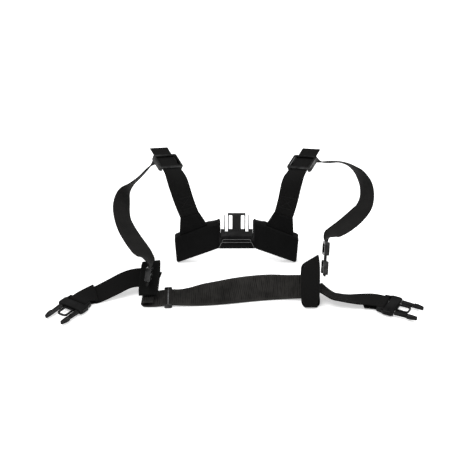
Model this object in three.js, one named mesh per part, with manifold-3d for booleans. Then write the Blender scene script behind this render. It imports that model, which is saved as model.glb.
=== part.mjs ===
// Chest harness for an action camera, laid out with its straps open.
// Millimetres, +Z up, the harness faces -Y. Origin: centre of the footprint, at the floor.
import * as THREE from "three";
import { mergeVertices } from "three/addons/utils/BufferGeometryUtils.js";
import Module from "manifold-3d";

const wasm = await Module();
wasm.setup();
const { Manifold, Mesh } = wasm;

// ---- driving dimensions ----
const GAP = 0.3; // clearance between pieces that touch
const PLATE_Y = 29; // front face of the plate's flat middle
const PLATE_T = 10; // depth of the plate's moulding
const FLAT_HALF = 30; // the middle of the plate is flat this far out
const SWEEP = 6; // degrees the wings are swept back
const PAD_T = 4; // foam behind the plate
const PAD_LIP = 1; // foam showing past the plate's edge
const MOUNT_HALF = 22.4; // half width of the gap the camera mount stands in
const STRAP_T = 1.8; // strap thickness
const SHOULDER_W = 28; // shoulder straps
const WEB_W = 25; // webbing over the back
const BAND_W = 38; // elastic band
const BAND_T = 2;
const SIDE_W = 28; // side straps, band to buckle
const SOCKET_TILT = 25; // degrees the buckle sockets lean down, going outwards
const SOCKET_H = 31;
const SOCKET_T = 6;
const SOCKET_DEPTH = 31;
const BUCKLE_HALF = 20.5; // half width of a buckle at its shoulders
const OFFSET = [1.3, 7.8, -0.14]; // puts the origin under the middle of the whole harness

// ---- helpers: solids ----
const v3 = (a) => new THREE.Vector3(a[0], a[1], a[2]);
const rad = THREE.MathUtils.degToRad;

function toManifold(geometry) {
  const bare = new THREE.BufferGeometry();
  bare.setAttribute("position", geometry.getAttribute("position"));
  if (geometry.index) bare.setIndex(geometry.index);
  const merged = mergeVertices(bare, 1e-4);
  return new Manifold(
    new Mesh({
      numProp: 3,
      vertProperties: new Float32Array(merged.getAttribute("position").array),
      triVerts: new Uint32Array(merged.index.array),
    }),
  );
}

function toGeometry(solid) {
  const mesh = solid.getMesh();
  const geometry = new THREE.BufferGeometry();
  geometry.setAttribute("position", new THREE.BufferAttribute(mesh.vertProperties, 3));
  geometry.setIndex(new THREE.BufferAttribute(mesh.triVerts, 1));
  return geometry;
}

const join = (...list) => toGeometry(list.map(toManifold).reduce((a, b) => a.add(b)));
const cut = (...list) => toGeometry(list.map(toManifold).reduce((a, b) => a.subtract(b)));
const common = (a, b) => toGeometry(toManifold(a).intersect(toManifold(b)));

function block(x0, x1, y0, y1, z0, z1) {
  const box = new THREE.BoxGeometry(x1 - x0, y1 - y0, z1 - z0);
  return box.translate((x0 + x1) / 2, (y0 + y1) / 2, (z0 + z1) / 2);
}

function rounded(points, radii, steps = 3) {
  const out = [];
  const n = points.length;
  points.forEach((p, i) => {
    const r = Array.isArray(radii) ? radii[i] : radii;
    const here = new THREE.Vector2(p[0], p[1]);
    if (!r) {
      out.push(here);
      return;
    }
    const a = new THREE.Vector2(...points[(i + n - 1) % n]).sub(here);
    const b = new THREE.Vector2(...points[(i + 1) % n]).sub(here);
    const half = a.angleTo(b) / 2;
    const reach = Math.min(r / Math.tan(half), a.length() * 0.48, b.length() * 0.48);
    const start = here.clone().add(a.setLength(reach));
    const end = here.clone().add(b.setLength(reach));
    out.push(...new THREE.QuadraticBezierCurve(start, here, end).getPoints(steps));
  });
  return out;
}

// A flat shape drawn in X and Y, from z0 to z1.
function slab(points, z0, z1, { holes = [], bevel = 0, grow = 0 } = {}) {
  const shape = new THREE.Shape(points);
  holes.forEach((hole) => shape.holes.push(new THREE.Path(hole)));
  const geometry = new THREE.ExtrudeGeometry(shape, {
    depth: z1 - z0 - 2 * bevel,
    bevelEnabled: bevel > 0 || grow !== 0,
    bevelThickness: bevel,
    bevelSize: bevel,
    bevelOffset: grow - bevel,
    bevelSegments: 1,
  });
  return geometry.translate(0, 0, z0 + bevel);
}

// The same, drawn in X and Z and reaching from y0 back to y1.
function upright(points, y0, y1, options) {
  return slab(points, -y1, -y0, options).rotateX(Math.PI / 2);
}

function mirrored(points) {
  return points.concat(points.slice().reverse().map(([x, z]) => [-x, z]));
}

// Bends both wings of an upright piece back from the flat middle.
function swept(geometry) {
  const lean = Math.tan(rad(SWEEP));
  const third = (x0, x1) => {
    const piece = common(geometry, block(x0, x1, -50, 50, -50, 200));
    const position = piece.getAttribute("position");
    for (let i = 0; i < position.count; i++) {
      const out = Math.max(0, Math.abs(position.getX(i)) - FLAT_HALF);
      position.setY(i, position.getY(i) + lean * out);
    }
    return piece;
  };
  return join(third(-FLAT_HALF, FLAT_HALF), third(-200, -FLAT_HALF), third(FLAT_HALF, 200));
}

// ---- helpers: straps ----
// A run is a list of [x, y, z, wx, wy, wz]: centre of the strap and the direction of its width.
function frames(run, count, closed = false) {
  const smooth = (points) => new THREE.CatmullRomCurve3(points, closed, "catmullrom", 0.5);
  const centre = smooth(run.map((p) => v3(p)));
  const across = smooth(run.map((p) => v3(p.slice(3))));
  const list = [];
  for (let i = 0; i <= count; i++) {
    const s = i / count;
    const p = centre.getPoint(s);
    const t = centre.getTangent(s);
    const w = across.getPoint(s);
    w.addScaledVector(t, -w.dot(t)).normalize();
    list.push({ p, t, w, n: w.clone().cross(t) });
  }
  return list;
}

// Folds the last part of a strap back under itself, round a bar of the given radius.
function folded(list, radius, back) {
  const end = list[list.length - 1];
  const centre = end.p.clone().addScaledVector(end.n, -radius);
  const turn = [];
  for (let k = 1; k < 8; k++) {
    const a = (Math.PI * k) / 8;
    const n = end.n.clone().multiplyScalar(Math.cos(a)).addScaledVector(end.t, Math.sin(a));
    turn.push({ p: centre.clone().addScaledVector(n, radius), w: end.w, n, t: end.t });
  }
  const under = list.slice(-back - 1).reverse().map(({ p, w, n, t }) => ({
    p: p.clone().addScaledVector(n, -2 * radius),
    w,
    n: n.clone().negate(),
    t,
  }));
  return list.concat(turn, under);
}

function ribbon(list, width, thick, closed = false) {
  const positions = [];
  const index = [];
  list.forEach(({ p, w, n }) => {
    [[-1, -1], [1, -1], [1, 1], [-1, 1]].forEach(([a, b]) => {
      const q = p.clone().addScaledVector(w, (a * width) / 2).addScaledVector(n, (b * thick) / 2);
      positions.push(q.x, q.y, q.z);
    });
  });
  const sections = list.length;
  for (let i = 0; i < (closed ? sections : sections - 1); i++) {
    for (let k = 0; k < 4; k++) {
      const a = 4 * i + k;
      const b = 4 * i + ((k + 1) % 4);
      const next = 4 * ((i + 1) % sections) - 4 * i;
      index.push(a, a + next, b, b, a + next, b + next);
    }
  }
  if (!closed) {
    const last = 4 * (sections - 1);
    index.push(0, 1, 2, 0, 2, 3);
    index.push(last, last + 2, last + 1, last, last + 3, last + 2);
  }
  const geometry = new THREE.BufferGeometry();
  geometry.setAttribute("position", new THREE.BufferAttribute(new Float32Array(positions), 3));
  geometry.setIndex(index);
  return geometry;
}

// ---- chest plate, pad and camera mount ----
const EDGE_TOP = [86.8, 40];
const EDGE_BOTTOM = [84.6, 0];
const PLATE_HALF_OUTLINE = [
  [0, 30.5],
  [12, 30.2],
  [24.8, 27.5],
  EDGE_BOTTOM,
  EDGE_TOP,
  [40, 62.8],
  [26.5, 66],
  [24.2, 68.2],
  [0, 68.2],
];
const PLATE_RADII = [0, 0, 0, 3, 4, 0, 0, 0, 0];

function fullOutline() {
  const half = rounded(PLATE_HALF_OUTLINE, PLATE_RADII).map((p) => [p.x, p.y]);
  const left = half.slice(1, -1).reverse().map(([x, z]) => [-x, z]);
  return half.slice(0, -1).concat(left).map(([x, z]) => new THREE.Vector2(x, z));
}

// A box in a wing's socket frame: its middle is the socket's mouth, and depth runs inwards.
function socketBox(side, y0, y1, z0, z1, depth, reach) {
  const box = side > 0 ? block(-depth, reach, y0, y1, z0, z1) : block(-reach, depth, y0, y1, z0, z1);
  return box.rotateY(rad(SOCKET_TILT) * side).translate(85.4 * side, 0, 20.5);
}

const ANCHOR = [[41.5, 59.6], [41.5, 63], [51.6, 80.2], [77.8, 70.8], [79.4, 47], [78, 42.2]];
const ANCHOR_TOP = [64.7, 75.5];
const ANCHOR_UP = [0.337, 0.941];

function anchorSolid(side, y0, y1, options) {
  const shape = rounded(ANCHOR, [2, 0, 1.5, 1.5, 0, 2], 2);
  return upright(shape.map((p) => new THREE.Vector2(p.x * side, p.y)), y0, y1, options);
}

const BOSS = mirrored([[25.2, 28.4], [18.5, 43]]);

function chestPlate() {
  const boss = BOSS.map(([x, z]) => new THREE.Vector2(x, z));
  const solid = join(
    upright(fullOutline(), 0, PLATE_T, { bevel: 1.4 }),
    upright(boss, -1.6, 2),
    block(-21, 21, -2.6, 2, 38.2, 39.8),
  );
  const half = SOCKET_H / 2;
  const bay = block(-MOUNT_HALF, MOUNT_HALF, -9, 30, 45, 120);
  const cuts = [-1, 1].flatMap((side) => [
    socketBox(side, 2, 2 + SOCKET_T, -half, half, SOCKET_DEPTH, 20),
    socketBox(side, 2.6, 7.4, -40, 0, 20, -8),
    anchorSolid(side, 2.3, 8.3, { grow: GAP }),
  ]);
  return swept(cut(solid, bay, ...cuts)).translate(0, PLATE_Y, 0);
}

function foamPad() {
  const front = PLATE_T + GAP;
  const solid = upright(fullOutline(), front, front + PAD_T, { bevel: 1.2, grow: PAD_LIP });
  const notch = block(-MOUNT_HALF - 0.6, MOUNT_HALF + 0.6, 0, 40, 45, 120);
  return swept(cut(solid, notch)).translate(0, PLATE_Y, 0);
}

function strapAnchor(side) {
  const body = anchorSolid(side, 2.6, 8, { bevel: 0.8 });
  const slot = block(-SHOULDER_W / 2 - 0.4, SHOULDER_W / 2 + 0.4, 4.1, 6.5, -11, 6);
  slot.rotateY(Math.atan2(ANCHOR_UP[0], ANCHOR_UP[1]) * side);
  slot.translate(ANCHOR_TOP[0] * side, 0, ANCHOR_TOP[1]);
  return swept(cut(body, slot)).translate(0, PLATE_Y, 0);
}

// Camera mount: a tongue inside a hoop, with a thin free blade on each side.
const MOUNT_FOOT = 45.3;
const MOUNT_SILL = 55.7;
const MOUNT_LOW = 51.9;
const MOUNT_TOP = 80.8;

function cameraMount() {
  const half = [
    [MOUNT_HALF - GAP, MOUNT_FOOT],
    [MOUNT_HALF - GAP, MOUNT_SILL],
    [17.3, MOUNT_SILL],
    [17.1, 78.4],
    [16.1, 78.4],
    [15.9, MOUNT_LOW],
    [12.2, MOUNT_LOW],
    [12.2, MOUNT_TOP],
  ];
  const outline = rounded(mirrored(half), 0);
  const window = (x0, x1) =>
    rounded([[x0, MOUNT_SILL], [x1, MOUNT_SILL], [x1, 79], [x0, 79]], 0.8, 2);
  const holes = [window(-10.7, -6), window(6, 10.7)];
  const tongue = mirrored([[5.6, 57], [5.6, 80.4]]).map(([x, z]) => new THREE.Vector2(x, z));
  const solid = join(upright(outline, 2, 6, { holes }), upright(tongue, 0.6, 3, { bevel: 0.6 }));
  return solid.translate(0, PLATE_Y, 0);
}

// ---- slides (three-bar strap adjusters) ----
// X across the strap, Y along it, Z out of it. The strap lies in Z = 0, over the middle bar and
// under the two outer ones.
function threeBar({ strap, long, bar, thick, lift }) {
  const inner = strap / 2 + 0.6;
  const outer = inner + bar;
  const half = long / 2;
  const high = lift + thick;
  const frame = (x, y, r) => rounded([[-x, -y], [x, -y], [x, y], [-x, y]], r);
  const holes = [frame(inner, half - bar, 1)];
  const rim = slab(frame(outer, half, bar * 0.9), -high, high, { holes, bevel: 0.6 });
  const under = block(-inner, inner, -half - 1, half + 1, -high - 1, lift);
  const wide = inner + bar / 2;
  return join(cut(rim, under), block(-wide, wide, -bar * 0.45, bar * 0.45, -high, -lift));
}

const SHOULDER_SLIDE = { strap: SHOULDER_W, long: 27, bar: 4, thick: 2, lift: 1.4 };
const WEB_SLIDE = { strap: WEB_W, long: 18, bar: 3.2, thick: 1.8, lift: 1.6 };
const BAND_SLIDE = { strap: BAND_W, long: 10.5, bar: 2.2, thick: 1.6, lift: 1.35 };

// ---- strap routes ----
const shoulderRoute = {
  left: [
    [-61.5, 37.61, 66.5, 0.94, -0.1, 0.337],
    [-64.7, 37.95, 75.5, 0.94, -0.1, 0.337],
    [-68.6, 39, 86, 0.94, -0.08, 0.33],
    [-73.5, 42, 100, 0.93, 0, 0.3],
    [-77.5, 45.5, 113, 0.92, 0.1, 0.25],
    [-81.4, 50.5, 123.5, 0.9, 0.3, 0.08],
    [-85.4, 58, 130, 0.84, 0.48, -0.1],
    [-89.7, 66, 133.4, 0.83, 0.53, -0.18],
    [-94.2, 74.3, 136.8, 0.83, 0.53, -0.18],
    [-98.7, 82.6, 140.2, 0.83, 0.53, -0.18],
    [-103.2, 90.9, 143.6, 0.83, 0.53, -0.18],
    [-108.8, 101.3, 147.9, 0.83, 0.53, -0.18],
  ],
  right: [
    [61.5, 37.61, 66.5, 0.94, 0.1, -0.337],
    [64.7, 37.95, 75.5, 0.94, 0.1, -0.337],
    [67.6, 39, 86, 0.94, 0.08, -0.33],
    [71, 42, 100, 0.93, 0, -0.3],
    [73.6, 45.5, 113, 0.92, -0.1, -0.25],
    [76.6, 50.5, 122.5, 0.9, -0.3, -0.08],
    [80.6, 58, 128.5, 0.84, -0.48, 0.1],
    [85.2, 66, 131.9, 0.83, -0.53, 0.18],
    [89.8, 74.3, 135.3, 0.83, -0.53, 0.18],
    [94.4, 82.6, 138.7, 0.83, -0.53, 0.18],
    [99, 90.9, 142.1, 0.83, -0.53, 0.18],
    [104.6, 101.3, 146.4, 0.83, -0.53, 0.18],
  ],
};
const webRoute = {
  left: [
    [-105.9, 93.9, 140, -0.45, 0.83, 0.33],
    [-112.5, 91, 134, -0.2, 0.87, 0],
    [-121.5, 87.5, 126, 0, 0.87, -0.35],
    [-135.1, 83, 112.5, 0, 0.87, -0.49],
    [-147, 78, 103, 0.15, 0.85, -0.49],
    [-156.5, 70, 93.5, 0.6, 0.65, -0.45],
    [-160, 56, 82, 0.88, 0.3, -0.35],
    [-158, 40, 71.5, 0.88, 0.3, -0.3],
    [-150.7, 20, 65, 0.76, 0.6, 0],
    [-140.4, -2, 61.2, 0.58, 0.8, 0.1],
    [-130.1, -22, 58.8, 0.47, 0.88, 0.08],
    [-121.9, -38.2, 58, 0.38, 0.88, -0.12],
    [-115.9, -49.3, 57, 0.33, 0.83, -0.4],
    [-112.9, -54.9, 52, 0.1, 0.87, -0.49],
    [-113.9, -58, 46, 0, 0.87, -0.49],
    [-114.9, -61.1, 40, 0, 0.87, -0.49],
    [-115.9, -64.2, 34, 0, 0.87, -0.49],
    [-116.9, -67.3, 28, 0, 0.87, -0.49],
  ],
  right: [
    [101.8, 94, 138.6, -0.456, -0.823, -0.337],
    [109, 91.5, 134.5, -0.2, -0.87, 0.05],
    [118, 89, 132.5, 0, -0.87, 0.38],
    [130.2, 88, 132.8, 0, -0.87, 0.49],
    [144.1, 87, 133.2, 0.12, -0.9, 0.42],
    [157, 82.7, 130.2, 0.28, -0.9, 0.33],
    [169.3, 75.3, 122.4, 0.43, -0.85, 0.3],
    [177.5, 63.5, 111.7, 0.52, -0.79, 0.3],
    [179, 49.2, 101.6, 0.58, -0.77, 0.25],
    [174, 33.7, 91.5, 0.66, -0.75, 0.02],
    [161.6, 18.9, 84.2, 0.61, -0.75, -0.26],
    [145.7, 3.4, 78.5, 0.48, -0.84, -0.24],
    [132, -8.6, 75.6, 0.36, -0.92, -0.1],
    [124.5, -14.6, 74.5, 0.24, -0.95, 0.1],
    [120, -18.5, 71.5, 0.1, -0.92, 0.35],
    [119.1, -22.3, 66, 0.02, -0.88, 0.46],
    [118.4, -26.8, 57.5, 0, -0.87, 0.46],
    [117.7, -32, 47.4, 0, -0.87, 0.46],
    [117, -37.3, 37.2, 0, -0.87, 0.46],
    [116.4, -42.5, 27.1, 0, -0.87, 0.46],
  ],
};
const bandRoute = [
  [-110, -58.4, 8.3, 0, 1, 0],
  [-118, -58.6, 8.2, 0, 1, 0],
  [-122.4, -58.8, 7.1, 0, 1, 0],
  [-124.2, -59, 5.2, 0, 1, 0],
  [-122.4, -59.2, 2.9, 0, 1, 0],
  [-118, -59.2, 1.9, 0, 1, 0],
  [-106, -59, 2, 0, 1, 0],
  [-94, -58.5, 3.2, -0.03, 1, 0],
  [-84, -58, 3.5, -0.06, 1, 0],
  [-74, -57.5, 3.2, -0.08, 1, 0.02],
  [-60, -57, 4.3, -0.1, 0.99, 0.12],
  [-44, -56.5, 6.7, -0.1, 0.95, 0.28],
  [-22, -55, 9, -0.12, 0.92, 0.4],
  [0, -52, 10.7, -0.14, 0.87, 0.5],
  [24, -48, 11.3, -0.14, 0.85, 0.54],
  [46, -45, 11.2, -0.1, 0.86, 0.52],
  [68, -43.5, 10.6, 0, 0.9, 0.42],
  [90, -45, 12, 0.05, 0.92, 0.38],
  [104, -48, 12.3, 0.1, 0.95, 0.25],
];
const sideRoute = {
  left: [
    [-104, -45, 20.3, 0, -0.82, -0.5],
    [-116, -41.5, 22, 0, -0.82, -0.53],
    [-128, -38, 22, 0.15, -0.83, -0.5],
    [-140, -38, 20.5, 0.3, -0.83, -0.45],
    [-150.5, -41, 18, 0.4, -0.8, -0.4],
    [-161, -46, 14.5, 0.5, -0.75, -0.35],
    [-171.5, -50.5, 11, 0.58, -0.7, -0.28],
    [-182, -54.5, 7.4, 0.66, -0.65, -0.2],
    [-192.5, -57.5, 4.4, 0.76, -0.62, -0.1],
    [-202, -63.8, 3, 0.84, -0.54, 0],
    [-207.3, -71.9, 2.9, 0.84, -0.54, 0],
  ],
  right: [
    [106, -50, 17, -0.1, -0.97, 0.08],
    [116, -58.5, 14, -0.1, -0.97, 0.2],
    [127, -66, 11, -0.1, -0.97, 0.22],
    [137, -68.6, 10, -0.12, -0.97, 0.22],
    [148, -70, 9, -0.18, -0.96, 0.18],
    [158, -70, 8.3, -0.2, -0.97, 0.1],
    [168, -69.2, 7.8, -0.25, -0.96, 0.05],
    [177, -69.8, 7.9, -0.35, -0.93, 0],
    [185.5, -72.2, 8, -0.43, -0.9, 0],
    [193.2, -76, 8.1, -0.47, -0.88, 0],
  ],
};
// Closed rings of webbing that carry the elastic.
const ringRoute = {
  left: [
    [-117, -62, 10.9, 1, 0.03, 0.02],
    [-117, -66.3, 13.3, 1, 0.02, 0.02],
    [-116.8, -63, 17.5, 1, 0.04, 0.03],
    [-116.5, -54, 22, 0.98, 0.1, 0.06],
    [-115.5, -40, 29.5, 0.97, 0.15, 0.1],
    [-115, -26.5, 37.5, 0.98, 0.12, 0.06],
    [-115, -20, 34, 0.98, 0.12, 0.06],
    [-115.5, -29.5, 20.5, 0.96, 0.2, 0.08],
    [-116.5, -49, 11.8, 0.96, 0.2, 0.08],
  ],
  right: [
    [97, -81, 4.5, 1, 0, 0],
    [96, -75.5, 15.5, 1, 0, 0],
    [96.5, -65, 27.5, 0.97, 0.1, 0.15],
    [97.5, -51, 37.5, 0.9, 0.2, 0.33],
    [98, -38, 44, 0.85, 0.27, 0.42],
    [98.5, -27, 43, 0.85, 0.27, 0.42],
    [99, -18, 30, 0.92, 0.15, 0.3],
    [99.5, -16, 13, 1, 0.05, 0.1],
    [99, -24, 2.8, 1, 0, 0],
    [98.5, -42, 1.6, 1, 0, 0],
    [98, -62, 1.6, 1, 0, 0],
    [97, -75, 1.6, 1, 0, 0],
  ],
};

// ---- male buckles ----
// X across, Y towards the tips, Z up; the strap folds round the bar at Y = 0.
function buckleBody() {
  const outline = [
    [0, 20], [9.5, 20], [18.4, 20.6], [BUCKLE_HALF, 17], [BUCKLE_HALF, 7], [18.4, 3.5], [17.6, -3.4], [0, -3.4],
  ];
  const half = rounded(outline, [0, 0, 1.5, 2, 2, 2, 2, 0], 2);
  const left = half.slice(1, -1).reverse().map((p) => new THREE.Vector2(-p.x, p.y));
  const opening = SIDE_W / 2 + 0.6;
  const frame = cut(
    slab(half.concat(left), -3.4, 3.4, { bevel: 1 }),
    block(-opening, opening, -6, 6.5, -6, 6),
  );
  const bar = block(-opening - 1.5, opening + 1.5, -2.4, 0.1, -0.95, 0.95);
  const loop = rounded([[-7.6, 18], [-7.6, 37], [7.6, 37], [7.6, 18]], [0, 5, 5, 0], 4);
  const holes = [rounded([[-5.6, 21.5], [5.6, 21.5], [5.6, 35], [-5.6, 35]], [1, 1, 3.6, 3.6], 3)];
  return join(frame, bar, slab(loop, -1.2, 1.2, { holes }));
}

function buckleArm(side) {
  const outline = [
    [11, 21], [16.6, 21], [15.6, 37], [17, 38], [17, 43], [14.6, 51], [11.2, 51], [10.8, 44],
  ];
  const shape = rounded(outline, [0, 0, 0.5, 0.8, 2, 1.4, 1.4, 2], 2);
  return slab(shape.map((p) => new THREE.Vector2(p.x * side, p.y)), -2.6, 2.6, { bevel: 0.8 });
}

const buckleSeat = {
  left: { origin: [-206.5, -70.6, 5.5], across: [-0.84, 0.54, 0], along: [-0.54, -0.84, 0] },
  right: { origin: [191.9, -75.3, 5.5], across: [-0.47, -0.88, 0], along: [0.88, -0.47, 0] },
};

// ---- the assembly ----
const harness = new THREE.Group();
harness.name = "chest_harness";
harness.position.set(...OFFSET);

function add(parent, name, geometry, colour, roughness = 0.6) {
  const material = new THREE.MeshStandardMaterial({ color: colour, roughness });
  const mesh = new THREE.Mesh(geometry, material);
  mesh.geometry.computeVertexNormals();
  mesh.name = name;
  parent.add(mesh);
  return mesh;
}

// Seats a mesh or group so its X runs across a strap and its Y along it.
function seat(object, origin, across, along) {
  const u = v3(across).normalize();
  const t = v3(along);
  t.addScaledVector(u, -t.dot(u)).normalize();
  object.quaternion.setFromRotationMatrix(new THREE.Matrix4().makeBasis(u, t, u.clone().cross(t)));
  object.position.set(...origin);
  return object;
}

function route(run, count, width, thick) {
  return ribbon(frames(run, count), width, thick);
}

function addSlide(name, run, count, at, shape, flip = 1) {
  const { p, w, t } = frames(run, count)[at];
  t.multiplyScalar(flip);
  seat(add(harness, name, threeBar(shape), 0x0e0e0e, 0.35), p.toArray(), w.toArray(), t.toArray());
}

add(harness, "chest_plate", chestPlate(), 0x151515, 0.5);
add(harness, "foam_pad", foamPad(), 0x202020, 0.95);
add(harness, "camera_slide_mount", cameraMount(), 0x101010, 0.45);
for (const [side, sign] of [["left", -1], ["right", 1]]) {
  add(harness, side + "_strap_anchor", strapAnchor(sign), 0x1b1b1b, 0.7);
  const shoulder = route(shoulderRoute[side], 44, SHOULDER_W, STRAP_T);
  add(harness, side + "_shoulder_strap", shoulder, 0x262624, 0.95);
  addSlide(side + "_shoulder_adjuster", shoulderRoute[side], 44, 33, SHOULDER_SLIDE);
  const steps = 4 * (webRoute[side].length - 1);
  add(harness, side + "_back_webbing", route(webRoute[side], steps, WEB_W, STRAP_T), 0x222220, 0.95);
  const ring = ribbon(frames(ringRoute[side], 48, true).slice(0, -1), WEB_W, STRAP_T, true);
  add(harness, side + "_band_loop", ring, 0x222220, 0.95);
  const strap = folded(frames(sideRoute[side], 30), 2.6, 8);
  add(harness, side + "_side_strap", ribbon(strap, SIDE_W, STRAP_T), 0x232321, 0.95);
  const { origin, across, along } = buckleSeat[side];
  const buckle = seat(new THREE.Group(), origin, across, along);
  harness.add(buckle);
  add(buckle, side + "_buckle_body", buckleBody(), 0x0e0e0e, 0.4);
  add(buckle, side + "_buckle_arm_a", buckleArm(-1), 0x0e0e0e, 0.4);
  add(buckle, side + "_buckle_arm_b", buckleArm(1), 0x0e0e0e, 0.4);
}
addSlide("left_rear_slider", webRoute.left, 68, 59, WEB_SLIDE);
addSlide("right_rear_slider", webRoute.right, 76, 63, WEB_SLIDE, -1);
addSlide("right_rear_keeper", webRoute.right, 76, 72, WEB_SLIDE);
add(harness, "back_band", route(bandRoute, 64, BAND_W, BAND_T), 0x252522, 0.95);
addSlide("band_slider", bandRoute, 64, 26, BAND_SLIDE);

export default harness;
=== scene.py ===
"""Looks of the chest harness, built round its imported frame: straps, foam, stitches, plastics, studio."""

import math
import random

import bmesh
import bpy
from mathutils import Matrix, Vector


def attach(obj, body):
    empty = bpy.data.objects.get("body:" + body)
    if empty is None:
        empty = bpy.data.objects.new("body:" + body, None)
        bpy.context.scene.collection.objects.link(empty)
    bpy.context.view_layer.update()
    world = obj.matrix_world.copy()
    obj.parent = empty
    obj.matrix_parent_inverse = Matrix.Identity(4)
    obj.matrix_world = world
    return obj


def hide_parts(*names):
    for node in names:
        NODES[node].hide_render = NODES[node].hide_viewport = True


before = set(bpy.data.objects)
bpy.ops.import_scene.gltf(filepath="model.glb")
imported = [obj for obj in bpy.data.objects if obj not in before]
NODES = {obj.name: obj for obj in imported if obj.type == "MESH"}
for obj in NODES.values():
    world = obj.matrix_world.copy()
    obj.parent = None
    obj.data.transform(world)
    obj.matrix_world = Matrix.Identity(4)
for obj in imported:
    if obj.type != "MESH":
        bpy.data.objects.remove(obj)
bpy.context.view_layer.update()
MM = 0.001
ORIGIN = Vector((1.3, 7.8, -0.14))  # where the routes' zero point lies in the row frame, mm
# Widths (W) and thicknesses (T) of the straps. All lengths are in mm, as the routes are.
STRAP_T = 1.8
SHOULDER_W = 28
WEB_W = 25
SIDE_W = 28
BAND_W = 38
BAND_T = 2
STEP = 1.0  # between two sections of a strap
BAND_STEP = 0.45  # the same for the elastic, fine enough for its ribs
WALE = 1.55  # spacing of the rows of weave along webbing
UV_UNIT = 10  # length of one unit of the straps' UV maps
STITCH = 2.4  # length of a stitch
SEAM_INSET = 10.5  # half the width that a seam takes on narrow webbing
FOLD_RADIUS = 2.6  # of a side strap round its buckle's bar
FOLD_BACK = 29  # how far it runs back under itself
RIB = 2.5  # spacing of the elastic's ribs
RIB_DEPTH = 0.5  # their depth, as a share of its thickness
RIB_SEED = 7
RIB_TONES = 400
PLAIN_EDGE = 2.6  # width of the elastic's edge that has no ribs
EDGE_BLEND = 0.8  # width over which the ribs fade in beside it
PLATE_FRONT = 29
LIP_RADIUS = 0.45
FOAM_VOXEL = 1.1
FOAM_PASSES = 14  # of smoothing
# The camera and what it looks at, in the routes' own place.
EYE = Vector((-2.2, -1121.5, 700.1))
AIM = Vector((-2.2, 10, 60))
LENS = 73.19
SENSOR = 36
WORLD_STRENGTH = 0.45
FLOOR_REACH = 6  # m, from the middle to each side
FLOOR_DROP = 0.0004  # m, so that the floor doesn't share a face with the part
# Lamps: name, place in m, size in m, power in W.
LAMPS = (
    ("key", (-0.5, -0.5, 1.3), (0.9, 0.7), 14),
    ("fill", (0.9, -0.3, 0.9), (0.7, 0.7), 6),
    ("rim", (0.1, 0.5, 1.5), (1.2, 0.5), 8),
)
LAMP_AIM = Vector((0, 0, 0.05))
# How far each loop's webbing draws in at its folds: left share, right share, reach in mm.
GATHER_LOW = {"left": (0.04, 0.04, 4), "right": (0.4, 0.34, 8)}
GATHER_HIGH = {"left": (0.1, 0.04, 4), "right": (0.4, 0.0, 14)}

# ---- routes: centre of the strap and direction of its width, in mm ----
SHOULDER = {
    "left": [
        [-61.5, 37.61, 66.5, 0.94, -0.1, 0.337],
        [-64.7, 37.95, 75.5, 0.94, -0.1, 0.337],
        [-68.6, 39, 86, 0.94, -0.08, 0.33],
        [-73.5, 42, 100, 0.93, 0, 0.3],
        [-77.5, 45.5, 113, 0.92, 0.1, 0.25],
        [-81.4, 50.5, 123.5, 0.9, 0.3, 0.08],
        [-85.4, 58, 130, 0.84, 0.48, -0.1],
        [-89.7, 66, 133.4, 0.83, 0.53, -0.18],
        [-94.2, 74.3, 136.8, 0.83, 0.53, -0.18],
        [-98.7, 82.6, 140.2, 0.83, 0.53, -0.18],
        [-103.2, 90.9, 143.6, 0.83, 0.53, -0.18],
        [-108.8, 101.3, 147.9, 0.83, 0.53, -0.18],
    ],
    "right": [
        [61.5, 37.61, 66.5, 0.94, 0.1, -0.337],
        [64.7, 37.95, 75.5, 0.94, 0.1, -0.337],
        [67.6, 39, 86, 0.94, 0.08, -0.33],
        [71, 42, 100, 0.93, 0, -0.3],
        [73.6, 45.5, 113, 0.92, -0.1, -0.25],
        [76.6, 50.5, 122.5, 0.9, -0.3, -0.08],
        [80.6, 58, 128.5, 0.84, -0.48, 0.1],
        [85.2, 66, 131.9, 0.83, -0.53, 0.18],
        [89.8, 74.3, 135.3, 0.83, -0.53, 0.18],
        [94.4, 82.6, 138.7, 0.83, -0.53, 0.18],
        [99, 90.9, 142.1, 0.83, -0.53, 0.18],
        [104.6, 101.3, 146.4, 0.83, -0.53, 0.18],
    ],
}
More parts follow.
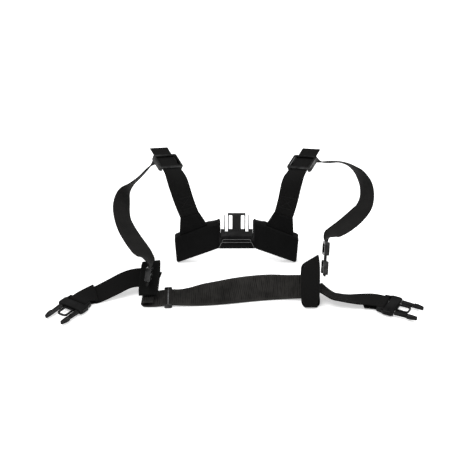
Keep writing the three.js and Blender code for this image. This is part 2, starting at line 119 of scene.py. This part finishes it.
WEBBING = {
    "left": [
        [-105.9, 93.9, 140, -0.45, 0.83, 0.33],
        [-112.5, 91, 134, -0.2, 0.87, 0],
        [-121.5, 87.5, 126, 0, 0.87, -0.35],
        [-135.1, 83, 112.5, 0, 0.87, -0.49],
        [-147, 78, 103, 0.15, 0.85, -0.49],
        [-156.5, 70, 93.5, 0.6, 0.65, -0.45],
        [-160, 56, 82, 0.88, 0.3, -0.35],
        [-158, 40, 71.5, 0.88, 0.3, -0.3],
        [-150.7, 20, 65, 0.76, 0.6, 0],
        [-140.4, -2, 61.2, 0.58, 0.8, 0.1],
        [-130.1, -22, 58.8, 0.47, 0.88, 0.08],
        [-121.9, -38.2, 58, 0.38, 0.88, -0.12],
        [-115.9, -49.3, 57, 0.33, 0.83, -0.4],
        [-112.9, -54.9, 52, 0.1, 0.87, -0.49],
        [-113.9, -58, 46, 0, 0.87, -0.49],
        [-114.9, -61.1, 40, 0, 0.87, -0.49],
        [-115.9, -64.2, 34, 0, 0.87, -0.49],
        [-116.9, -67.3, 28, 0, 0.87, -0.49],
    ],
    "right": [
        [101.8, 94, 138.6, -0.456, -0.823, -0.337],
        [109, 91.5, 134.5, -0.2, -0.87, 0.05],
        [118, 89, 132.5, 0, -0.87, 0.38],
        [130.2, 88, 132.8, 0, -0.87, 0.49],
        [144.1, 87, 133.2, 0.12, -0.9, 0.42],
        [157, 82.7, 130.2, 0.28, -0.9, 0.33],
        [169.3, 75.3, 122.4, 0.43, -0.85, 0.3],
        [177.5, 63.5, 111.7, 0.52, -0.79, 0.3],
        [179, 49.2, 101.6, 0.58, -0.77, 0.25],
        [174, 33.7, 91.5, 0.66, -0.75, 0.02],
        [161.6, 18.9, 84.2, 0.61, -0.75, -0.26],
        [145.7, 3.4, 78.5, 0.48, -0.84, -0.24],
        [132, -8.6, 75.6, 0.36, -0.92, -0.1],
        [124.5, -14.6, 74.5, 0.24, -0.95, 0.1],
        [120, -18.5, 71.5, 0.1, -0.92, 0.35],
        [119.1, -22.3, 66, 0.02, -0.88, 0.46],
        [118.4, -26.8, 57.5, 0, -0.87, 0.46],
        [117.7, -32, 47.4, 0, -0.87, 0.46],
        [117, -37.3, 37.2, 0, -0.87, 0.46],
        [116.4, -42.5, 27.1, 0, -0.87, 0.46],
    ],
}
BAND = [
    [-110, -58.4, 8.3, 0, 1, 0],
    [-118, -58.6, 8.2, 0, 1, 0],
    [-122.4, -58.8, 7.1, 0, 1, 0],
    [-124.2, -59, 5.2, 0, 1, 0],
    [-122.4, -59.2, 2.9, 0, 1, 0],
    [-118, -59.2, 1.9, 0, 1, 0],
    [-106, -59, 2, 0, 1, 0],
    [-94, -58.5, 3.2, -0.03, 1, 0],
    [-84, -58, 3.5, -0.06, 1, 0],
    [-74, -57.5, 3.2, -0.08, 1, 0.02],
    [-60, -57, 4.3, -0.1, 0.99, 0.12],
    [-44, -56.5, 6.7, -0.1, 0.95, 0.28],
    [-22, -55, 9, -0.12, 0.92, 0.4],
    [0, -52, 10.7, -0.14, 0.87, 0.5],
    [24, -48, 11.3, -0.14, 0.85, 0.54],
    [46, -45, 11.2, -0.1, 0.86, 0.52],
    [68, -43.5, 10.6, 0, 0.9, 0.42],
    [90, -45, 12, 0.05, 0.92, 0.38],
    [104, -48, 12.3, 0.1, 0.95, 0.25],
]
SIDE = {
    "left": [
        [-104, -45, 20.3, 0, -0.82, -0.5],
        [-116, -41.5, 22, 0, -0.82, -0.53],
        [-128, -38, 22, 0.15, -0.83, -0.5],
        [-140, -38, 20.5, 0.3, -0.83, -0.45],
        [-150.5, -41, 18, 0.4, -0.8, -0.4],
        [-161, -46, 14.5, 0.5, -0.75, -0.35],
        [-171.5, -50.5, 11, 0.58, -0.7, -0.28],
        [-182, -54.5, 7.4, 0.66, -0.65, -0.2],
        [-192.5, -57.5, 4.4, 0.76, -0.62, -0.1],
        [-202, -63.8, 3, 0.84, -0.54, 0],
        [-207.3, -71.9, 2.9, 0.84, -0.54, 0],
    ],
    "right": [
        [106, -50, 17, -0.1, -0.97, 0.08],
        [116, -58.5, 14, -0.1, -0.97, 0.2],
        [127, -66, 11, -0.1, -0.97, 0.22],
        [137, -68.6, 10, -0.12, -0.97, 0.22],
        [148, -70, 9, -0.18, -0.96, 0.18],
        [158, -70, 8.3, -0.2, -0.97, 0.1],
        [168, -69.2, 7.8, -0.25, -0.96, 0.05],
        [177, -69.8, 7.9, -0.35, -0.93, 0],
        [185.5, -72.2, 8, -0.43, -0.9, 0],
        [193.2, -76, 8.1, -0.47, -0.88, 0],
    ],
}
RING = {
    "left": [
        [-117, -62, 10.9, 1, 0.03, 0.02],
        [-117, -66.3, 13.3, 1, 0.02, 0.02],
        [-116.8, -63, 17.5, 1, 0.04, 0.03],
        [-116.5, -54, 22, 0.98, 0.1, 0.06],
        [-115.5, -40, 29.5, 0.97, 0.15, 0.1],
        [-115, -26.5, 37.5, 0.98, 0.12, 0.06],
        [-115, -20, 34, 0.98, 0.12, 0.06],
        [-115.5, -29.5, 20.5, 0.96, 0.2, 0.08],
        [-116.5, -49, 11.8, 0.96, 0.2, 0.08],
    ],
    "right": [
        [97, -81, 4.5, 1, 0, 0],
        [96, -75.5, 15.5, 1, 0, 0],
        [96.5, -65, 27.5, 0.97, 0.1, 0.15],
        [97.5, -51, 37.5, 0.9, 0.2, 0.33],
        [98, -38, 44, 0.85, 0.27, 0.42],
        [98.5, -27, 43, 0.85, 0.27, 0.42],
        [99, -18, 30, 0.92, 0.15, 0.3],
        [99.5, -16, 13, 1, 0.05, 0.1],
        [99, -24, 2.8, 1, 0, 0],
        [98.5, -42, 1.6, 1, 0, 0],
        [98, -62, 1.6, 1, 0, 0],
        [97, -75, 1.6, 1, 0, 0],
    ],
}


def catmull(points, s, closed):
    """A point on the smooth curve through points, at share s of its spans."""
    n = len(points)
    place = (n if closed else n - 1) * s
    i = min(int(place), (n if closed else n - 1) - 1)
    f = place - i
    if closed:
        p0, p1, p2, p3 = (points[(i + k) % n] for k in (-1, 0, 1, 2))
    else:
        p1, p2 = points[i], points[i + 1]
        p0 = points[i - 1] if i > 0 else 2 * p1 - p2
        p3 = points[i + 2] if i + 2 < n else 2 * p2 - p1
    a, b = (p2 - p0) / 2, (p3 - p1) / 2
    return p1 + a * f + (3 * (p2 - p1) - 2 * a - b) * f**2 + (2 * (p1 - p2) + a + b) * f**3


class Section:
    """One cross-section of a strap: centre p, direction t, width w, outward n, distance v run so far."""

    def __init__(self, p, t, w, n):
        self.p, self.t, self.w, self.n, self.v = p, t, w, n, 0.0


def sections(run, step, closed=False):
    """A route's cross-sections, about step apart. Each of its rows is a centre and a width direction."""
    centre = [Vector(r[:3]) for r in run]
    across = [Vector(r[3:]) for r in run]
    length = sum((centre[i] - centre[i - 1]).length for i in range(0 if closed else 1, len(run)))
    count = max(8, round(length / step))
    out = []
    for k in range(count if closed else count + 1):
        s = k / count
        p = catmull(centre, s, closed)
        ahead = catmull(centre, min(1, s + 1e-4), closed)
        behind = catmull(centre, max(0, s - 1e-4), closed)
        t = (ahead - behind).normalized()
        w = catmull(across, s, closed)
        w = (w - w.dot(t) * t).normalized()
        out.append(Section(p, t, w, w.cross(t)))
    measure(out)
    return out


def measure(run):
    """Writes into each section how far along the strap it lies."""
    for a, b in zip(run, run[1:]):
        b.v = a.v + (b.p - a.p).length


def folded(run, radius, back):
    """Takes a strap's end round a bar and back under itself for a distance in mm."""
    end = run[-1]
    centre = end.p - end.n * radius
    turn = []
    for k in range(1, 16):
        a = math.pi * k / 16
        n = end.n * math.cos(a) + end.t * math.sin(a)
        turn.append(Section(centre + n * radius, -end.n * math.sin(a) + end.t * math.cos(a), end.w, n))
    under = [
        Section(q.p - 2 * radius * q.n, -q.t, q.w, -q.n)
        for q in reversed(run)
        if end.v - q.v <= back
    ]
    out = run + turn + under
    measure(out)
    return out


def mesh_piece(name, verts, faces, uvs=None):
    """A new piece from vertices in mm in the routes' place, with its faces turned outward."""
    mesh = bpy.data.meshes.new(name)
    mesh.from_pydata([(v + ORIGIN) * MM for v in verts], [], faces)
    for polygon in mesh.polygons:
        polygon.use_smooth = True
    if uvs:
        layer = mesh.uv_layers.new(name="UVMap")
        for loop in mesh.loops:
            layer.data[loop.index].uv = uvs[loop.vertex_index]
    shape = bmesh.new()
    shape.from_mesh(mesh)
    bmesh.ops.recalc_face_normals(shape, faces=shape.faces)
    shape.to_mesh(mesh)
    shape.free()
    piece = bpy.data.objects.new(name, mesh)
    bpy.context.scene.collection.objects.link(piece)
    return piece


def webbing_profile(width, thick, wale=WALE, depth=0.13):
    """Half the outline of woven webbing, from one edge to the other: rows of rounded wales."""
    half, edge = thick / 2, thick * 0.42
    inner = width / 2 - edge
    wales = round(2 * inner / wale)
    rim = ((0.0, 0.0), (0.12, 0.45), (0.45, 0.82))  # how the edge rounds over: shares of edge and half
    points = [(-width / 2 + a * edge, b * half) for a, b in rim]
    for k in range(4 * wales + 1):
        groove = abs(math.cos(math.pi * k / 4)) ** 3
        points.append((-inner + 2 * inner * k / (4 * wales), half - depth * groove))
    points += [(-a, b) for a, b in reversed(points[:3])]
    return points


def loft(name, run, width, thick, profile, closed=False, ripple=None, pinch=None):
    """A closed strap lofted along its sections.

    ripple(a, v) thins it, as a share of its thickness. pinch(a, v) draws it in, as a share of its width.
    """
    top = profile(width, thick)
    ring = top + [(a, -b) for a, b in reversed(top[1:-1])]
    count = len(ring)
    verts, uvs, faces = [], [], []
    for q in run:
        for a, b in ring:
            thin = 1 - (ripple(a, q.v) if ripple else 0)
            drawn = 1 - (pinch(a, q.v) if pinch else 0)
            verts.append(q.p + q.w * (a * drawn) + q.n * (b * thin))
            uvs.append((a / UV_UNIT, q.v / UV_UNIT))
    spans = len(run) if closed else len(run) - 1
    for i in range(spans):
        j = (i + 1) % len(run)
        for k in range(count):
            m = (k + 1) % count
            faces.append((i * count + k, i * count + m, j * count + m, j * count + k))
    if not closed:
        last = (len(run) - 1) * count
        half = len(top)
        for base, flip in ((0, True), (last, False)):
            for k in range(half - 1):
                low = (count - k) % count, (count - k - 1) % count
                quad = [base + k, base + k + 1, base + low[1], base + low[0]]
                quad = [x for i, x in enumerate(quad) if x not in quad[:i]]
                faces.append(tuple(reversed(quad)) if flip else tuple(quad))
    return mesh_piece(name, verts, faces, uvs)


def thread(points, radius=0.32, sides=6):
    """Vertices and faces of one stitch: a short thread that dives in at both ends."""
    verts, faces = [], []
    for i, p in enumerate(points):
        t = (points[min(i + 1, len(points) - 1)] - points[max(i - 1, 0)]).normalized()
        u = t.orthogonal().normalized()
        w = t.cross(u)
        r = radius * (0.55 if i in (0, len(points) - 1) else 1)
        for k in range(sides):
            a = 2 * math.pi * k / sides
            verts.append(p + r * (u * math.cos(a) + w * math.sin(a)))
    for i in range(len(points) - 1):
        for k in range(sides):
            m = (k + 1) % sides
            faces.append((i * sides + k, i * sides + m, (i + 1) * sides + m, (i + 1) * sides + k))
    faces.append(tuple(reversed(range(sides))))
    faces.append(tuple(range((len(points) - 1) * sides, len(points) * sides)))
    return verts, faces


def at(run, v):
    """The section nearest to distance v along the run."""
    return min(run, key=lambda q: abs(q.v - v))


def sewing(name, run, thick, seams, side=1):
    """Stitches lying on a strap. A seam is (a0, v0, a1, v1), from one place on the strap to another."""
    verts, faces = [], []
    for a0, v0, a1, v1 in seams:
        length = math.hypot(a1 - a0, v1 - v0)
        count = max(1, round(length / STITCH))
        for k in range(count):
            points = []
            for f, dip in ((0.08, -0.18), (0.3, 0.1), (0.7, 0.1), (0.92, -0.18)):
                s = (k + f) / count
                v = v0 + (v1 - v0) * s
                q = at(run, v)
                place = q.p + q.t * (v - q.v) + q.w * (a0 + (a1 - a0) * s)
                points.append(place + q.n * side * (thick / 2 + dip))
            more, quads = thread(points)
            faces += [tuple(x + len(verts) for x in f) for f in quads]
            verts += more
    return mesh_piece(name, verts, faces)


def box_seam(half, v0, v1):
    """A box with a cross in it."""
    corners = [(-half, v0), (half, v0), (half, v1), (-half, v1)]
    order = ((0, 1), (1, 2), (2, 3), (3, 0), (0, 2), (1, 3))
    return [(*corners[i], *corners[j]) for i, j in order]


# ---- materials ----
class Nodes:
    """A material under construction: shorthand for making and joining its nodes."""

    def __init__(self, name):
        self.material = bpy.data.materials.new(name)
        self.material.use_nodes = True
        self.tree = self.material.node_tree
        self.shader = self.tree.nodes["Principled BSDF"]

    def add(self, kind, **values):
        node = self.tree.nodes.new(kind)
        for key, value in values.items():
            setattr(node, key, value)
        return node

    def link(self, a, b):
        self.tree.links.new(a, b)

    def feed(self, socket, value):
        if isinstance(value, bpy.types.NodeSocket):
            self.link(value, socket)
        else:
            socket.default_value = value

    def math(self, operation, a, b=0.0, c=0.0):
        node = self.add("ShaderNodeMath", operation=operation)
        for socket, value in zip(node.inputs, (a, b, c)):
            self.feed(socket, value)
        return node.outputs[0]

    def noise(self, scale, detail=3.0, rough=0.6, vector=None):
        node = self.add("ShaderNodeTexNoise")
        node.inputs["Scale"].default_value = scale
        node.inputs["Detail"].default_value = detail
        node.inputs["Roughness"].default_value = rough
        self.link(vector or self.place(), node.inputs["Vector"])
        return node.outputs["Fac"]

    def place(self):
        return self.add("ShaderNodeTexCoord").outputs["Object"]

    def ramp(self, value, low, high):
        node = self.add("ShaderNodeMapRange")
        self.link(value, node.inputs["Value"])
        node.inputs["From Min"].default_value = low
        node.inputs["From Max"].default_value = high
        return node.outputs[0]

    def blend(self, share, a, b):
        node = self.add("ShaderNodeMix", data_type="RGBA")
        self.feed(node.inputs["Factor"], share)
        self.feed(node.inputs["A"], a)
        self.feed(node.inputs["B"], b)
        return node.outputs["Result"]

    def bump(self, height, distance, strength=1.0, under=None):
        node = self.add("ShaderNodeBump")
        node.inputs["Distance"].default_value = distance
        node.inputs["Strength"].default_value = strength
        self.link(height, node.inputs["Height"])
        if under:
            self.link(under, node.inputs["Normal"])
        return node.outputs["Normal"]

    def finish(self, colour, rough, normal, specular=0.5):
        self.feed(self.shader.inputs["Base Color"], colour)
        self.feed(self.shader.inputs["Roughness"], rough)
        self.link(normal, self.shader.inputs["Normal"])
        self.shader.inputs["Specular IOR Level"].default_value = specular
        return self.material


def grey(value, warm=0.0):
    """A grey, leaning to red and away from blue by the share warm."""
    return (value * (1 + warm), value, value * (1 - 1.4 * warm), 1)


def woven(name, dark, light, wale, pick, warm=0.03):
    """Webbing: wales along it and picks across it, in brick order, with lint, lighter patches at random,
    and painted shade that darkens the weave's grooves against its raised threads.
    """
    m = Nodes(name)
    split = m.add("ShaderNodeSeparateXYZ")
    m.link(m.add("ShaderNodeTexCoord").outputs["UV"], split.inputs[0])
    u, v = split.outputs[0], split.outputs[1]
    column = m.math("MULTIPLY", u, UV_UNIT / wale)
    offset = m.math("MULTIPLY", m.math("FLOOR", column), 0.5)
    picks = m.math("FRACT", m.math("MULTIPLY_ADD", v, UV_UNIT / pick, offset))
    hump = m.math("SINE", m.math("MULTIPLY", picks, math.pi))
    wales = m.math("SINE", m.math("MULTIPLY", m.math("FRACT", column), math.pi))
    height = m.math("MULTIPLY", hump, wales)
    fuzz = m.noise(2600, 2.0)
    patches = m.ramp(m.noise(45, 4.0), 0.35, 0.7)
    # The colour follows the weave's height: painted shade in its grooves, lighter on its raised threads.
    share = m.math("MULTIPLY", m.math("ADD", height, patches), 0.5)
    share = m.math("MULTIPLY", share, m.ramp(fuzz, 0.2, 0.8))
    normal = m.bump(height, 0.00022, 0.9, m.bump(fuzz, 0.00006, 0.6))
    m.shader.inputs["Sheen Weight"].default_value = 0.02
    rough = m.math("MULTIPLY_ADD", patches, 0.12, 0.74)
    return m.finish(m.blend(share, grey(dark, warm), grey(light, warm)), rough, normal, 0.08)


def elastic(name):
    """Ribbed elastic: uneven painted shade in the grooves between its ribs, plain edges left lighter
    without it, a slight warm cast.
    """
    m = Nodes(name)
    split = m.add("ShaderNodeSeparateXYZ")
    m.link(m.add("ShaderNodeTexCoord").outputs["UV"], split.inputs[0])
    u, v = split.outputs[0], split.outputs[1]
    streaks = m.add("ShaderNodeCombineXYZ")
    m.link(m.math("MULTIPLY", u, 0.35), streaks.inputs[0])
    m.link(m.math("MULTIPLY", v, 3.6), streaks.inputs[1])
    uneven = m.ramp(m.noise(1.6, 3.0, 0.7, streaks.outputs[0]), 0.36, 0.64)
    turns = m.math("MULTIPLY", v, 2 * math.pi * UV_UNIT / RIB)
    wave = m.math("MULTIPLY_ADD", m.math("COSINE", turns), -0.5, 0.5)
    # Painted shade: the grooves between the ribs are darkened, unevenly.
    groove = m.math("MULTIPLY", wave, uneven)
    inner = BAND_W / 2 - PLAIN_EDGE
    plain = m.ramp(m.math("ABSOLUTE", u), (inner - EDGE_BLEND) / UV_UNIT, inner / UV_UNIT)
    groove = m.math("MULTIPLY", groove, m.math("SUBTRACT", 1.0, plain))
    fuzz = m.noise(2400, 2.0)
    patches = m.noise(40, 3.0)
    share = m.math("MULTIPLY", m.math("SUBTRACT", 1.05, groove), m.ramp(patches, 0.1, 0.75))
    normal = m.bump(fuzz, 0.00008, 0.7)
    m.shader.inputs["Sheen Weight"].default_value = 0.03
    return m.finish(m.blend(share, grey(0.0008, 0.05), grey(0.024, 0.05)), 0.85, normal, 0.06)


def moulded(name, base, wear_and_highlight, rough, grain, depth, specular=0.3):
    """Moulded plastic: fine grain, uneven gloss, edges painted lighter as a highlight and as rubbed wear,
    faint handling marks.
    """
    m = Nodes(name)
    fine = m.noise(grain, 3.0, 0.7)
    broad = m.noise(60, 3.0)
    scratch = m.add("ShaderNodeMapping")
    scratch.inputs["Scale"].default_value = (60, 1400, 900)
    m.link(m.place(), scratch.inputs["Vector"])
    marks = m.ramp(m.noise(1.0, 2.0, 0.5, scratch.outputs[0]), 0.68, 0.8)
    # Edges found by pointiness turn lighter: a painted highlight along them, partly rubbed wear.
    edge = m.ramp(m.add("ShaderNodeNewGeometry").outputs["Pointiness"], 0.515, 0.6)
    edge_highlight_and_rub = m.math("MULTIPLY", edge, m.ramp(broad, 0.3, 0.7))
    share = m.math("MINIMUM", m.math("MULTIPLY_ADD", marks, 0.25, edge_highlight_and_rub), 1.0)
    level = m.math("MULTIPLY_ADD", m.ramp(broad, 0.3, 0.7), 0.14, rough)
    level = m.math("MULTIPLY_ADD", marks, 0.1, level)
    return m.finish(m.blend(share, grey(base), grey(wear_and_highlight)), level, m.bump(fine, depth, 0.8), specular)


def foam(name):
    """Open-cell foam: small pits all over, with painted shade where their surface sinks and a soft
    unevenness under them.
    """
    m = Nodes(name)
    cells = m.add("ShaderNodeTexVoronoi", feature="DISTANCE_TO_EDGE")
    cells.inputs["Scale"].default_value = 900
    m.link(m.place(), cells.inputs["Vector"])
    pits = m.ramp(cells.outputs["Distance"], 0.0, 0.25)
    normal = m.bump(pits, 0.00018, 0.8, m.bump(m.noise(140, 4.0), 0.0003, 0.5))
    m.shader.inputs["Sheen Weight"].default_value = 0.1
    # The colour follows the pits' height: painted shade where they sink.
    return m.finish(m.blend(pits, grey(0.006), grey(0.016)), m.ramp(m.noise(70), 0.1, 0.6), normal, 0.2)


def floor_material():
    """A plain pale floor that glows a little, so that it stays near white."""
    m = Nodes("studio_floor")
    tone = m.blend(m.noise(3), (0.9, 0.9, 0.9, 1), (0.93, 0.93, 0.93, 1))
    m.shader.inputs["Emission Color"].default_value = (1, 1, 1, 1)
    m.shader.inputs["Emission Strength"].default_value = 0.5
    return m.finish(tone, 0.75, m.bump(m.noise(300), 0.00002, 0.2), 0.1)


# woven: dark and light greys, then the spacing of wales and of picks.
WEB = woven("webbing_black", 0.003, 0.02, WALE, 1.5)
STRAP = woven("strap_black", 0.0012, 0.008, WALE, 1.3)
ELASTIC = elastic("elastic_black")
THREAD = woven("thread_black", 0.006, 0.03, 0.5, 0.5)
# moulded: greys of the body and of its edges and marks (the edge grey is a painted highlight as well as
# wear), roughness, grain's scale and depth, specular level.
PLATE = moulded("plate_plastic", 0.0018, 0.014, 0.45, 1500, 0.00007, 0.04)
# The rim is far lighter than the plate: a painted highlight along the plate's lip and ridge.
RIM_HIGHLIGHT = moulded("rim_painted_highlight", 0.03, 0.09, 0.35, 1500, 0.00003, 0.5)
MOUNT = moulded("mount_plastic", 0.003, 0.03, 0.34, 2600, 0.00002, 0.13)
ANCHOR = moulded("anchor_plastic", 0.002, 0.014, 0.55, 1100, 0.0001, 0.04)
# The slides' edge grey is high, to paint the bright highlights along their bars.
SLIDE = moulded("slide_plastic", 0.0012, 0.2, 0.2, 3000, 0.00001, 0.06)
BUCKLE = moulded("buckle_plastic", 0.002, 0.05, 0.27, 2400, 0.00002, 0.06)


# ---- hard pieces: the frame's own nodes, with broken edges and materials ----
def dress(node, material, edge):
    """Gives a node of the frame its material and a rounded edge, in mm, without moving its faces."""
    piece = NODES[node]
    piece.data.materials.clear()
    piece.data.materials.append(material)
    for polygon in piece.data.polygons:
        polygon.use_smooth = True
        polygon.material_index = 0
    weld = piece.modifiers.new("weld", "WELD")
    weld.merge_threshold = 2e-6
    flat = piece.modifiers.new("flat", "DECIMATE")
    flat.decimate_type = "DISSOLVE"
    flat.angle_limit = math.radians(0.6)
    bevel = piece.modifiers.new("edges", "BEVEL")
    bevel.width = edge * MM
    bevel.segments = 2
    bevel.limit_method = "ANGLE"
    bevel.angle_limit = math.radians(32)
    piece.modifiers.new("normals", "WEIGHTED_NORMAL")


def dress_hard_pieces():
    dress("chest_plate", PLATE, 0.45)
    dress("camera_slide_mount", MOUNT, 0.3)
    dress("band_slider", SLIDE, 0.3)
    dress("left_rear_slider", SLIDE, 0.35)
    dress("right_rear_slider", SLIDE, 0.35)
    dress("right_rear_keeper", SLIDE, 0.35)
    for side in ("left", "right"):
        dress(side + "_strap_anchor", ANCHOR, 0.35)
        dress(side + "_shoulder_adjuster", SLIDE, 0.4)
        dress(side + "_buckle_body", BUCKLE, 0.35)
        for arm in "ab":
            dress(f"{side}_buckle_arm_{arm}", BUCKLE, 0.35)


# ---- soft pieces ----
def settle(piece, material, slot, *nodes):
    """Gives a finished soft piece its material and body; slot is not used."""
    piece.data.materials.append(material)
    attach(piece, "harness")
    if nodes:
        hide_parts(*nodes)


def build_foam():
    """The pad behind the plate: the frame's pad, remeshed and eased so that its edges roll over."""
    source = NODES["foam_pad"]
    piece = bpy.data.objects.new("foam_cushion", source.data.copy())
    bpy.context.scene.collection.objects.link(piece)
    remesh = piece.modifiers.new("remesh", "REMESH")
    remesh.mode = "VOXEL"
    remesh.voxel_size = FOAM_VOXEL * MM
    ease = piece.modifiers.new("ease", "SMOOTH")
    ease.iterations = FOAM_PASSES
    ease.factor = 0.5
    graph = bpy.context.evaluated_depsgraph_get()
    mesh = bpy.data.meshes.new_from_object(piece.evaluated_get(graph))
    piece.modifiers.clear()
    piece.data = mesh
    mesh.materials.clear()
    for polygon in mesh.polygons:
        polygon.use_smooth = True
    settle(piece, foam("foam_black"), "pad_foam", "foam_pad")


def ribs(pitch, width, depth):
    """How far an elastic thins at distance v along it: deep ribs between plain edges."""
    rng = random.Random(RIB_SEED)
    tone = [rng.uniform(0.6, 1) for _ in range(RIB_TONES)]

    def ripple(a, v):
        edge = min(1.0, max(0.0, (width / 2 - PLAIN_EDGE - abs(a)) / EDGE_BLEND))
        k = v / pitch
        return depth * tone[int(k) % RIB_TONES] * edge * (0.5 - 0.5 * math.cos(2 * math.pi * k))

    return ripple


def gathers(length, *folds):
    """How far a closed strap draws in at its folds: place along it, left share, right share, reach."""

    def pinch(a, v):
        share = 0.0
        for place, left, right, reach in folds:
            away = abs(v - place)
            away = min(away, length - away)
            share += (left if a < 0 else right) * math.exp(-((away / reach) ** 2))
        return share

    return pinch


def build_straps():
    """Shoulder straps, back webbing, loops and side straps, all but the loops with their stitching."""
    for side in ("left", "right"):
        shoulder = sections(SHOULDER[side], STEP)
        settle(
            loft(side + "_shoulder_webbing", shoulder, SHOULDER_W, STRAP_T, webbing_profile),
            STRAP, "webbing", side + "_shoulder_strap",
        )
        end = shoulder[-1].v
        rows = box_seam(SEAM_INSET, 20, 36) + [(-12, end - 5, 12, end - 5), (-12, end - 7, 12, end - 7)]
        for face in (1, -1):
            name = f"{side}_shoulder_stitching_{'front' if face > 0 else 'back'}"
            settle(sewing(name, shoulder, STRAP_T, rows, face), THREAD, "webbing")
        back = sections(WEBBING[side], STEP)
        settle(
            loft(side + "_rear_webbing", back, WEB_W, STRAP_T, webbing_profile),
            WEB, "webbing", side + "_back_webbing",
        )
        rows = [(-SEAM_INSET, v, SEAM_INSET, v) for v in (back[-1].v - 4, back[-1].v - 6)]
        settle(sewing(side + "_rear_stitching", back, STRAP_T, rows), THREAD, "webbing")
        ring = sections(RING[side], STEP, True)
        low = min(ring, key=lambda q: q.p.y)
        high = max(ring, key=lambda q: q.p.z)
        drawn = gathers(ring[-1].v, (low.v, *GATHER_LOW[side]), (high.v, *GATHER_HIGH[side]))
        loop = loft(
            side + "_loop_webbing", ring, WEB_W, STRAP_T, webbing_profile, closed=True, pinch=drawn
        )
        settle(loop, STRAP, "webbing", side + "_band_loop")
        strap = folded(sections(SIDE[side], STEP), FOLD_RADIUS, FOLD_BACK)
        settle(
            loft(side + "_waist_webbing", strap, SIDE_W, STRAP_T, webbing_profile),
            STRAP, "webbing", side + "_side_strap",
        )
        settle(sewing(side + "_waist_stitching", strap, STRAP_T, box_seam(11, 4, 16)), THREAD, "webbing")


def band_profile(width, thick):
    """Half the outline of the elastic: a plain rounded edge each side and a flat middle."""
    half = thick / 2
    edge = [(-width / 2, 0.0), (-width / 2 + 0.15, 0.5 * half), (-width / 2 + 0.6, 0.95 * half)]
    inner = width / 2 - 1.4
    middle = [(-inner + 2 * inner * k / 36, half) for k in range(37)]
    return edge + middle + [(-a, b) for a, b in reversed(edge)]


def build_band():
    """The ribbed elastic across the back, with three rows of stitches at its start."""
    run = sections(BAND, BAND_STEP)
    ripple = ribs(RIB, BAND_W, RIB_DEPTH)
    piece = loft("elastic_band", run, BAND_W, BAND_T, band_profile, ripple=ripple)
    settle(piece, ELASTIC, "elastic", "back_band")
    rows = [(-17, v, 17, v) for v in (2.5, 5, 7.5)]
    settle(sewing("band_stitching", run, BAND_T, rows), THREAD, "webbing")


def build_rim():
    """The lip round the middle of the plate and along the ridge under the mount, in a lighter plastic that
    paints the highlight along their edges.
    """
    # Corners of each lip: across, out from the plate's front, up.
    lips = (
        [(-25.2, -1.6, 28.4), (-18.5, -1.6, 43), (18.5, -1.6, 43), (25.2, -1.6, 28.4)],
        [(-21, -2.6, 39), (21, -2.6, 39)],
    )
    verts, faces = [], []
    for lip in lips:
        for a, b in zip(lip, lip[1:]):
            ends = [Vector((x, y + PLATE_FRONT, z)) for x, y, z in (a, b)]
            more, quads = thread([ends[0].lerp(ends[1], s) for s in (0, 0.02, 0.98, 1)], LIP_RADIUS, 8)
            faces += [tuple(x + len(verts) for x in f) for f in quads]
            verts += more
    settle(mesh_piece("plate_rim_highlight", verts, faces), RIM_HIGHLIGHT, "plate_plastic")


# ---- studio ----
def area_light(name, place, size, power):
    data = bpy.data.lights.new(name, "AREA")
    data.shape = "RECTANGLE"
    data.size, data.size_y = size
    data.energy = power
    light = bpy.data.objects.new(name, data)
    light.location = place
    light.rotation_euler = (LAMP_AIM - Vector(place)).to_track_quat("-Z", "Y").to_euler()
    bpy.context.scene.collection.objects.link(light)


def build_studio():
    scene = bpy.context.scene
    data = bpy.data.cameras.new("camera")
    data.lens = LENS
    data.sensor_width = SENSOR
    camera = bpy.data.objects.new("camera", data)
    place = (EYE + ORIGIN) * MM
    target = (AIM + ORIGIN) * MM
    camera.location = place
    camera.rotation_euler = (target - place).to_track_quat("-Z", "Y").to_euler()
    scene.collection.objects.link(camera)
    scene.camera = camera
    world = bpy.data.worlds.new("studio")
    world.use_nodes = True
    world.node_tree.nodes["Background"].inputs["Color"].default_value = (1, 1, 1, 1)
    world.node_tree.nodes["Background"].inputs["Strength"].default_value = WORLD_STRENGTH
    scene.world = world
    scene.view_settings.view_transform = "Standard"
    for lamp in LAMPS:
        area_light(*lamp)
    mesh = bpy.data.meshes.new("floor")
    corners = [(x * FLOOR_REACH, y * FLOOR_REACH, 0) for x, y in ((-1, -1), (1, -1), (1, 1), (-1, 1))]
    mesh.from_pydata(corners, [], [(0, 1, 2, 3)])
    floor = bpy.data.objects.new("floor", mesh)
    floor.location.z = -FLOOR_DROP
    mesh.materials.append(floor_material())
    scene.collection.objects.link(floor)


build_studio()
dress_hard_pieces()
build_foam()
build_straps()
build_band()
build_rim()
